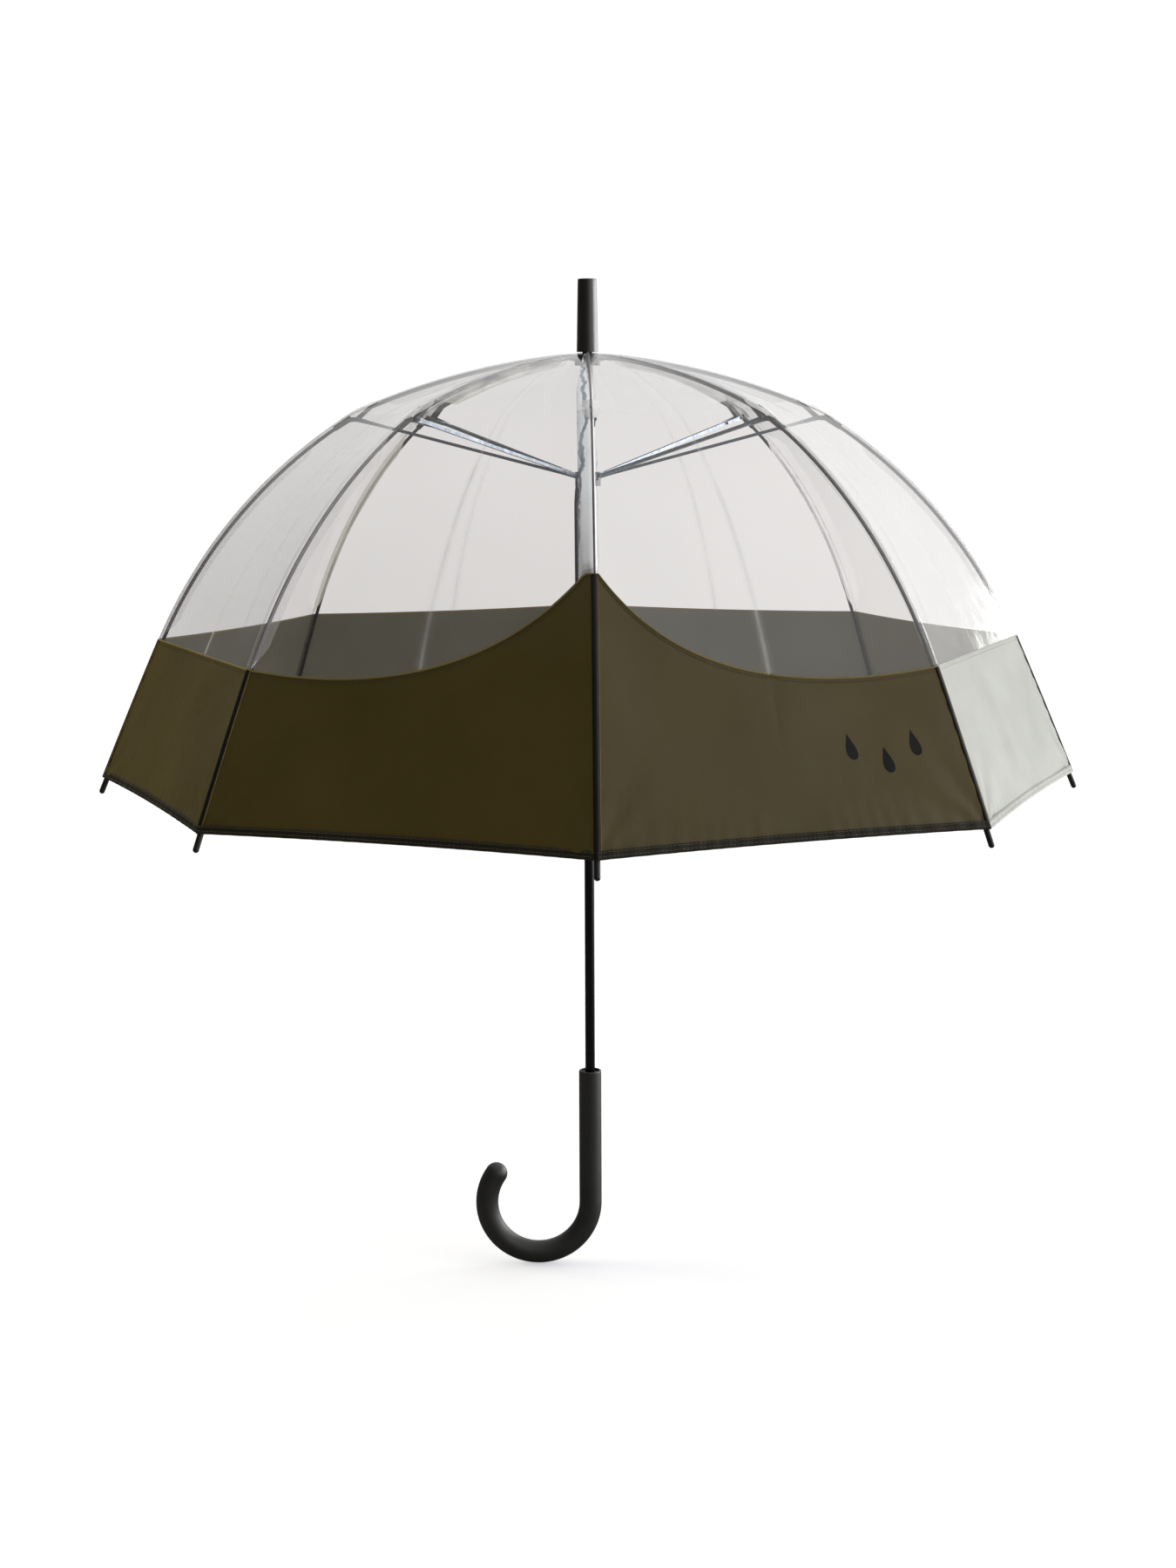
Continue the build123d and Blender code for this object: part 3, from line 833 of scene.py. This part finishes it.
def print_piece():
    """Three plain drops printed near the right end of the front right panel."""
    k, side = 1, -1
    work = Work()

    def place(across, up):
        s = hem(0) - up / LENGTHS[2]
        v = across / chord(s)
        stand = pucker(k, side, v, s, hem(v))
        return work.add(skin(k, side, v, s, CLOTH / 2 + INK + stand))

    for at, height in DROPS:
        middle = place(at, height)
        rings = [[place(at + x * share, height + y * share) for x, y in drop_outline()]
                 for share in DROP_RINGS]
        for n, corner in enumerate(rings[0]):
            work.face([middle, corner, rings[0][(n + 1) % len(rings[0])]])
        for inner, outer in zip(rings, rings[1:]):
            work.ring_faces(inner, outer, flip=True)
    return work.mesh("print_drops", [PRINT])


def seam_strip(k):
    """Black strip over the seam of two band panels, with a thin bead beside it whose lighter
    colour is a painted highlight: the panel's edge catching light.
    """
    first, last = edge(k, 1, 0.0), hem(0)

    def place(i, j):
        s = first + (last - first) * i / STRIP_ROWS
        share, lift = STRIP_PROFILE[j]
        offset = STRIP_HALF * share
        side = -1 if offset < 0 else 1
        return skin(k, side, abs(offset) / chord(s), s, lift), (offset, s * LENGTHS[2])

    work = Work()
    work.grid(STRIP_ROWS, len(STRIP_PROFILE) - 1, place, flip=True)
    bead = []
    for i in range(STRIP_ROWS + 1):
        s = first + (last - first) * (0.01 + 0.98 * i / STRIP_ROWS)
        bead.append(skin(k, 1, (STRIP_HALF + BEAD_RADIUS) / chord(s), s, BEAD_LIFT))
    # The bead's lighter colour is a painted highlight of the panel's edge.
    work.tube(bead, BEAD_RADIUS, sides=6, slot=1)
    return attach(work.mesh(f"seam_strip_{k + 1}", [STRIP, WELT_AND_PAINTED_HIGHLIGHT]), k, 1)


def weld_band(work, k, segment, first, last, offsets):
    """The flat band of a weld, on the outside. The front one's lower end is tucked in under the
    band of cloth."""
    tucked = (k, segment) == (0, 1)

    def place(i, j):
        end, side = last, -1 if offsets[j] < 0 else 1
        if tucked:
            end = edge(0, side, abs(offsets[j]) / chord(last)) + TUCK
        s = first + (end - first) * i / WELD_ROWS
        offset = offsets[j] * (min(1, 0.2 + s) if k == 0 else 1)
        lift = WELD_EDGE_LIFT if j in (0, len(offsets) - 1) else WELD_LIFT
        if tucked and s > end - 1.3 * TUCK:
            lift = TUCK_LIFT
        return skin(k, side, abs(offset) / chord(s), s, lift), (offset, s / 3)

    work.grid(WELD_ROWS, len(offsets) - 1, place, flip=True)


def weld_fin(work, k, first, last, slot):
    """The fin of a weld, which stands in beside the rib."""
    beside = -1 if k == TURNED_FIN else 1

    def place(i, j):
        share = i / WELD_ROWS
        s = first + (last - first) * share
        depth = FIN_ROOT + FIN_DEPTH * j / FIN_COLUMNS
        wander = FIN_WANDER * sin(17 * share + k) * j / FIN_COLUMNS
        taper = min(1, FIN_TAPER * share, FIN_TAPER * (1 - share))
        across = beside * (FIN_ASIDE + FIN_LEAN * depth * taper) + wander
        return rib_point(k, s, -depth * max(taper, FIN_LEAST), across), (depth, s / 3)

    work.grid(WELD_ROWS, FIN_COLUMNS, place, slot)


def weld_piece(k, segment):
    """Welded seam of two film panels: a flat band on the outside and the fin that stands in. The
    front one is wider to the left, with its edge drawn as a dark line."""
    work = Work()
    last = edge(k, 1, 0.0) - WELD_SHORT
    if k == 0:
        last += WELD_SHORT
        ends = (FRONT_UPPER_WELD, (FRONT_LOWER_WELD_START, last))
        offsets, materials, fin_slot = FRONT_WELD_OFFSETS, [GLARE, SEAM, FIN], 2
    else:
        ends = (UPPER_WELD, (LOWER_WELD_START, last))
        fin_material = MILKY_FIN if k in MILKY_FINS else FIN
        offsets, materials, fin_slot = WELD_OFFSETS, [WELD, fin_material], 1
    first, last = ends[segment]
    fin_ends = (UPPER_FIN, (LOWER_FIN_START, last))[segment]
    weld_band(work, k, segment, first, last, offsets)
    if k == 0:
        line = []
        for i in range(WELD_ROWS + 1):
            s = first + (last - first) * i / WELD_ROWS
            line.append(skin(0, 1, WELD_LINE_ASIDE / chord(s), s, WELD_LINE_LIFT))
        work.tube(line, WELD_LINE_RADIUS, slot=1)
    weld_fin(work, k, *fin_ends, slot=fin_slot)
    name = ("weld_upper", "weld_lower")[segment]
    return attach(work.mesh(f"{name}_{k + 1}", materials), k, segment)


def patch_piece(k):
    """Rounded film patch over a rib joint."""
    work = Work()
    count, steps = 40, 5
    rings = []
    for step in range(steps + 1):
        share = 0.12 + 0.88 * step / steps
        ring = []
        for n in range(count):
            t = 2 * pi * n / count
            across = PATCH_WIDTH * share * cos(t)
            s = PATCH_MIDDLE + PATCH_LENGTH / LENGTHS[0] * share * sin(t) * 0.85
            v = abs(across) / chord(s)
            ring.append(work.add(skin(k, -1 if across < 0 else 1, v, s, PATCH_LIFT)))
        rings.append(ring)
    for one, two in zip(rings, rings[1:]):
        work.ring_faces(one, two, flip=True)
    work.face(rings[0][::-1])
    piece = work.mesh(f"joint_patch_{k + 1}", [PATCH])
    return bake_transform(piece)


def make_half(k, side):
    """The film and the band of half a panel beside a rib."""
    upper = attach(film_piece(k, side, 0), k, 0)
    lower = attach(film_piece(k, side, 1), k, 1)
    band = attach(band_piece(k, side), k, 1)
    going = [attach(trim_piece(k, side), k, 1)]
    if (k, side) == (1, -1):
        going.append(attach(print_piece(), k, 1))
    for piece in (lower, band, *going):
        pleat(piece, k, 1)
    pleat(upper, k, 0)
    return upper, band


for k in range(RIBS):
    film, band = make_half(k, 1)
    make_half(k, -1)
    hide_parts(f"clear_panel_{k + 1}")
    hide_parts(f"band_panel_{k + 1}")
    seam_strip(k)
    for segment in (0, 1):
        weld_piece(k, segment)
    patch_piece(k)


# ---------- the front rod, which is sprung to one side ----------

ROD_ASIDE = 0.0125
ROD_TOP, ROD_BOTTOM = JOINT_HEIGHT - 0.004, RIM[1] + 0.02
ROD_LEAVES = 0.22  # the share of its length by which it is fully aside
ROD_RETURNS = 0.55  # and the share from which it comes back


def sprung_rod():
    """The front rod springs to the left of its seam, and comes back to it under the band."""
    piece = link_object("front_rod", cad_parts["rib_outer_1"].data.copy())
    for vertex in piece.data.vertices:
        share = min(1, max(0, (ROD_TOP - vertex.co.z) / (ROD_TOP - ROD_BOTTOM)))
        leave = min(1, share / ROD_LEAVES)
        back = min(1, max(0, (share - ROD_RETURNS) / (1 - ROD_RETURNS)))
        aside = ROD_ASIDE * sin(pi / 2 * leave) * (1 + cos(pi * back)) / 2
        vertex.co.x -= aside
        vertex.co.y += aside * tan(HALF)
    attach(piece, 0, 1)
    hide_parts("rib_outer_1")


sprung_rod()


# ---------- floor, light and camera ----------

FLOOR_SIZE = 3.2
FLOOR_TONES = ((0.3, (0.84, 0.84, 0.84)), (0.7, (0.86, 0.86, 0.86)))
FLOOR_GLOW = ((0.3, (0.5, 0.5, 0.53)), (1.0, (0.64, 0.64, 0.67)))
FLOOR_MIRRORED = (0.22, 0.22, 0.22, 1)

# Each surround is the direction that its tones are set out along, and the tones.
WORLD = ((0.4, 0.3, 0.0), ((0.0, 0.06), (0.3, 0.14), (0.5, 0.5), (0.65, 0.85), (1.0, 1.0)))
MIRRORED = ((0.4, 0.15, 0.35), ((0.0, 0.03), (0.45, 0.12), (0.6, 0.7), (0.8, 1.1), (1.0, 1.5)))
BACKDROP = ((2.0, 0.0, 0.0), ((0.0, 1.04), (0.4, 1.04), (0.6, 1.08), (1.0, 1.25)))

CAMERA_LENS = 57.09
CAMERA_SENSOR = 36
CAMERA_PLACE = (-0.0283, -2.1584, 0.7580)
CAMERA_TURNS = (81.52, 0.22, -0.76)  # degrees
LIGHT_AIM = Vector((0, 0, 0.6))


def make_floor():
    """White to the eye, and dimmer where glossy surfaces mirror it, as a floor cut short is."""
    shader = Shader("studio_floor")
    matt = shader.node("ShaderNodeBsdfDiffuse")
    shader.link(shader.ramp(shader.noise(1.5), *FLOOR_TONES), matt.inputs["Color"])
    away = shader.node("ShaderNodeVectorMath", operation="LENGTH")
    shader.link(shader.place(), away.inputs[0])
    glow = shader.node("ShaderNodeEmission")
    shader.link(shader.ramp(away.outputs["Value"], *FLOOR_GLOW), glow.inputs["Color"])
    both = shader.node("ShaderNodeAddShader")
    shader.link(matt.outputs["BSDF"], both.inputs[0])
    shader.link(glow.outputs["Emission"], both.inputs[1])
    dim = shader.node("ShaderNodeBsdfDiffuse")
    dim.inputs["Color"].default_value = FLOOR_MIRRORED
    path = shader.node("ShaderNodeLightPath")
    seen = shader.mix(path.outputs["Is Glossy Ray"], both.outputs["Shader"], dim.outputs["BSDF"])
    bpy.ops.mesh.primitive_plane_add(size=FLOOR_SIZE, location=(0, 0, -0.0005))
    floor = bpy.context.object
    floor.name = "studio_floor"
    floor.data.materials.append(shader.finish(seen))


def surround(nodes, towards, tones):
    """Light from all round, its tone set by how far a direction leans towards another."""
    direction = nodes.node("ShaderNodeTexCoord").outputs["Generated"]
    lean = nodes.node("ShaderNodeVectorMath", operation="DOT_PRODUCT")
    lean.inputs[1].default_value = towards
    nodes.link(direction, lean.inputs[0])
    factor = nodes.maths("ADD", lean.outputs["Value"], 0.5)
    light = nodes.node("ShaderNodeBackground")
    greys = [(at, (tone, tone, tone)) for at, tone in tones]
    nodes.link(nodes.ramp(factor, *greys), light.inputs["Color"])
    return light.outputs["Background"]


def make_world():
    """A backdrop that is white, and whiter still to the right, and a surround that is bright
    behind and on the right, with tones of its own for what glossy surfaces mirror."""
    world = bpy.data.worlds.new("studio")
    bpy.context.scene.world = world
    world.use_nodes = True
    nodes = Nodes(world.node_tree)
    path = nodes.node("ShaderNodeLightPath")
    layers = surround(nodes, *WORLD)
    layers = nodes.mix(path.outputs["Is Glossy Ray"], layers, surround(nodes, *MIRRORED))
    layers = nodes.mix(path.outputs["Is Camera Ray"], layers, surround(nodes, *BACKDROP))
    output = nodes.node("ShaderNodeOutputWorld")
    nodes.link(layers, output.inputs["Surface"])


def softbox(name, place, width, height, power, colour=(1, 1, 1), mirrored=False):
    """A soft light aimed at the canopy. It fills, or it only shows in what is glossy."""
    light = bpy.data.lights.new(name, "AREA")
    light.shape = "RECTANGLE"
    light.size = width
    light.size_y = height
    light.energy = power
    light.color = colour
    lamp = link_object(name, light)
    lamp.location = place
    lamp.rotation_euler = (Vector(place) - LIGHT_AIM).to_track_quat("Z", "Y").to_euler()
    lamp.visible_camera = False
    lamp.visible_glossy = mirrored
    lamp.visible_diffuse = not mirrored


def make_camera():
    data = bpy.data.cameras.new("camera")
    data.lens = CAMERA_LENS
    data.sensor_width = CAMERA_SENSOR
    camera = link_object("camera", data)
    camera.location = CAMERA_PLACE
    camera.rotation_euler = [radians(turn) for turn in CAMERA_TURNS]
    bpy.context.scene.camera = camera


make_camera()
make_world()
make_floor()
softbox("left", (-2.5, 0.5, 1.0), 1.4, 1.8, 33, colour=(1, 0.98, 0.7))
softbox("right", (1.7, -1.0, 1.2), 1.0, 1.2, 3.6)
softbox("back", (2.3, 1.4, 0.8), 0.6, 2.2, 8)
softbox("front", (0.2, -2.6, 2.2), 1.8, 1.2, 1.3)
softbox("side", (2.6, -0.1, 0.7), 0.8, 2.0, 30, mirrored=True)
softbox("edge", (2.2, 1.1, 0.6), 1.7, 2.4, 60, mirrored=True)
bpy.context.scene.view_settings.view_transform = "Standard"
# A ray can cross more layers of film than the 8 that Cycles allows by default.
bpy.context.scene.cycles.transparent_max_bounces = 32
